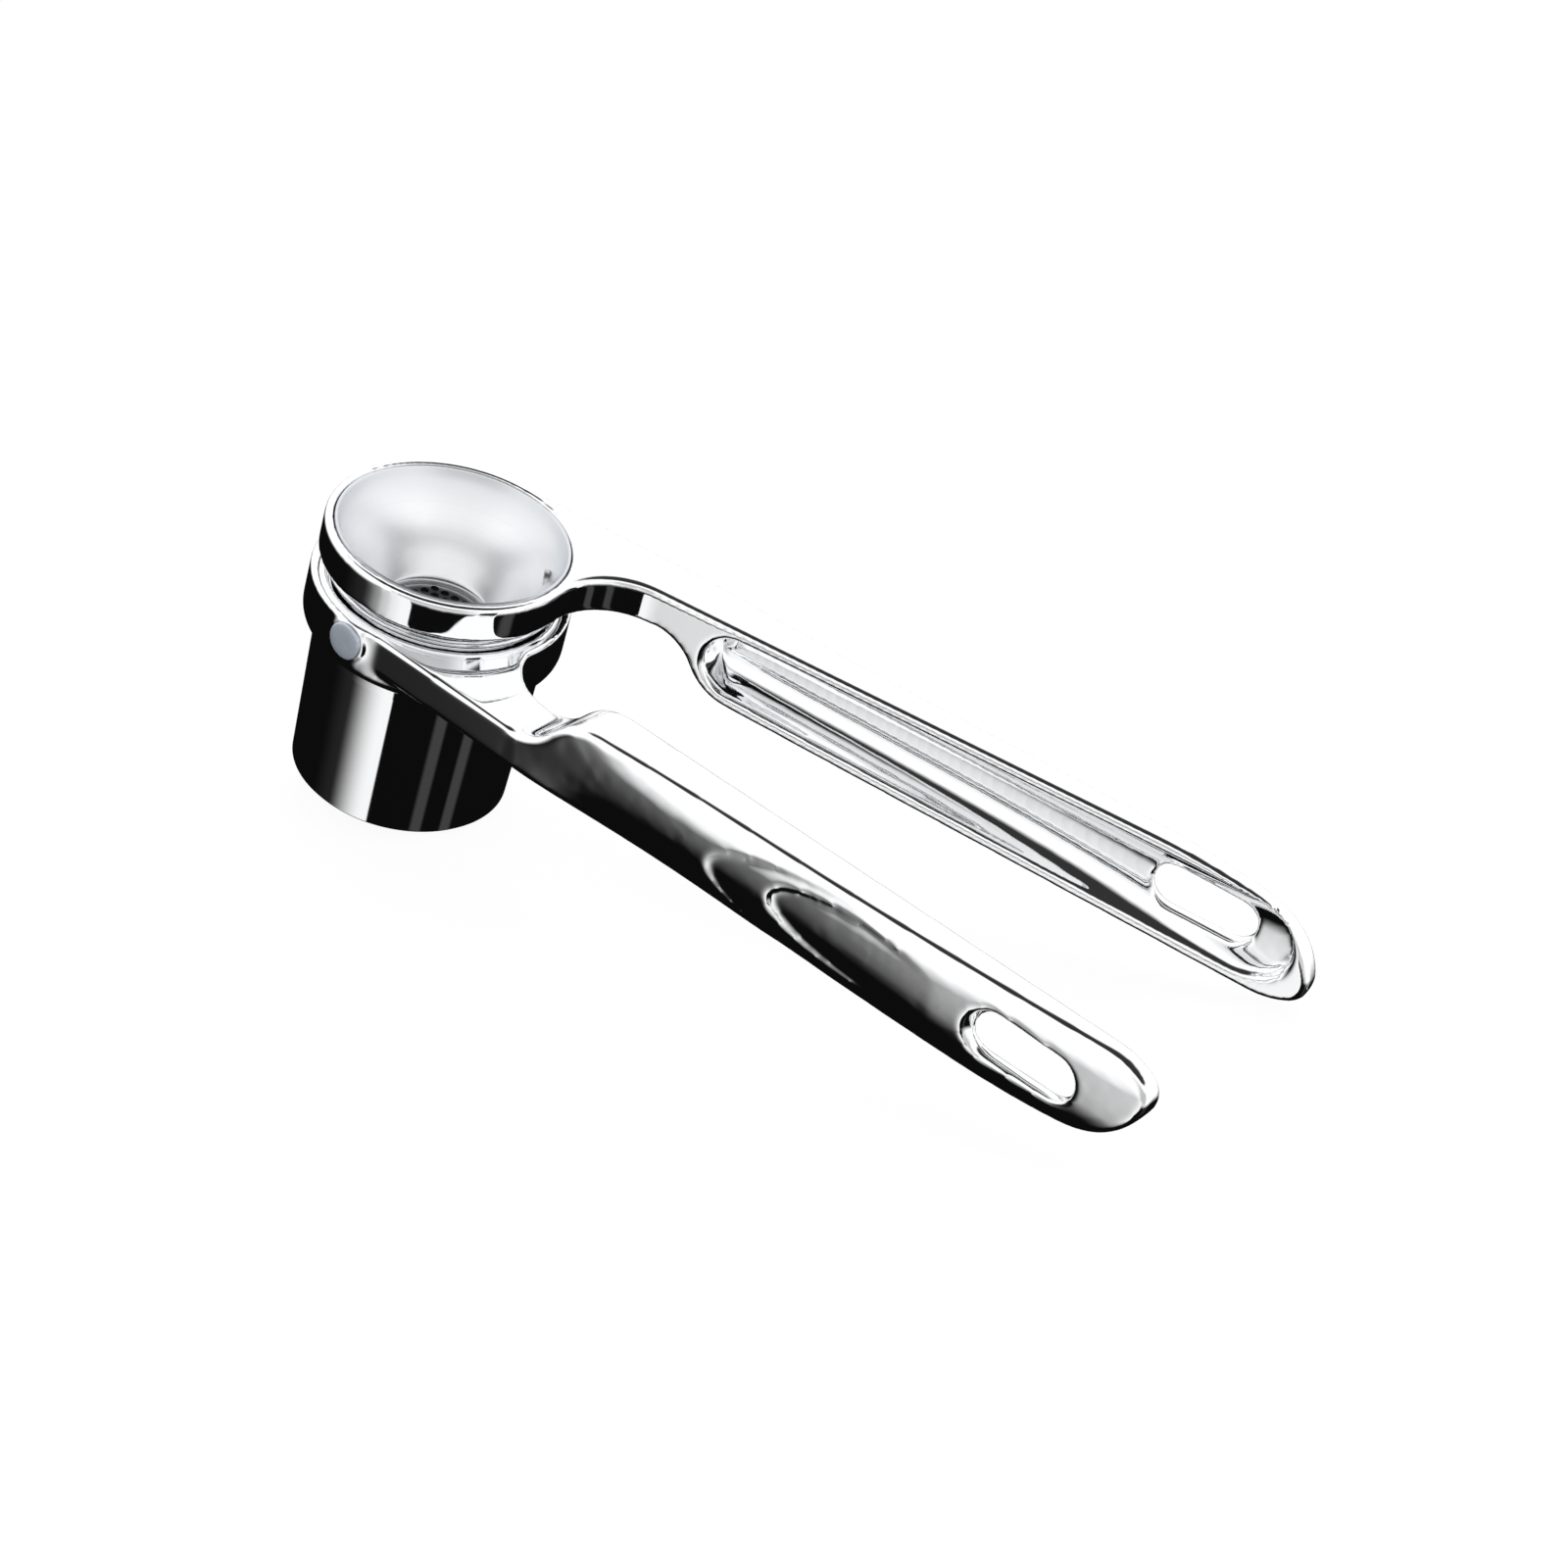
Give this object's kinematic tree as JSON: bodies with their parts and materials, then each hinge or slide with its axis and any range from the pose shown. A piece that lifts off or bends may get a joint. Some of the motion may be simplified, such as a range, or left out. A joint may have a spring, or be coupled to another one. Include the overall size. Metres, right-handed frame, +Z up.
{
  "type": "garlic press",
  "caption": "Chromed hand press with twin hollow handles swinging round an upright barrel, a funnel bowl with a strainer on top and a cam-driven plunger inside.",
  "frame": {"origin": "middle of the barrel's flat bottom face, on the chamber axis", "axes": "+Z up along the chamber axis towards the bowl, +X along the lower handle"},
  "size_m": [0.1804, 0.0731, 0.0518],
  "materials": {
    "chrome_arms": "mirror polished",
    "chrome_barrel": "mirror polished",
    "satin_bowl": "fine satin",
    "satin_pins": "satin",
    "polished_bearing": "polished",
    "black_washer": "moulded",
    "inner_steel": "turned",
    "seal_rubber": "moulded"
  },
  "bodies": {
    "lower": {"lower_arm": "chrome_arms", "barrel": "chrome_barrel", "barrel_cap": "chrome_barrel", "cap_seal": "seal_rubber", "foot_washer": "black_washer", "bearing_bush": "polished_bearing", "thrust_washer": "polished_bearing", "retaining_pins": "satin_pins"},
    "upper": {"upper_arm": "chrome_arms", "drive_sleeve": "inner_steel", "set_screws": "inner_steel", "bowl": "satin_bowl", "bowl_seal": "seal_rubber", "bowl_screw": "satin_pins", "strainer": "inner_steel"},
    "press": {"plunger": "inner_steel", "plunger_seal": "seal_rubber", "plunger_face": "inner_steel", "face_screw": "inner_steel", "cross_pin": "inner_steel"}
  },
  "joints": [
    {"name": "arm_swing", "type": "hinge", "parent": "lower", "child": "upper", "pos_m": [0, 0, 0.041], "axis": [0, 0, 1], "range_deg": [-13, 42]},
    {"name": "plunger_lift", "type": "slide", "parent": "upper", "child": "press", "axis": [0, 0, 1], "range_m": [-0.00734, 0.00228]}
  ],
  "couplings": [
    {"joint": "plunger_lift", "follows": "arm_swing", "m_per_rad": -0.01}
  ]
}
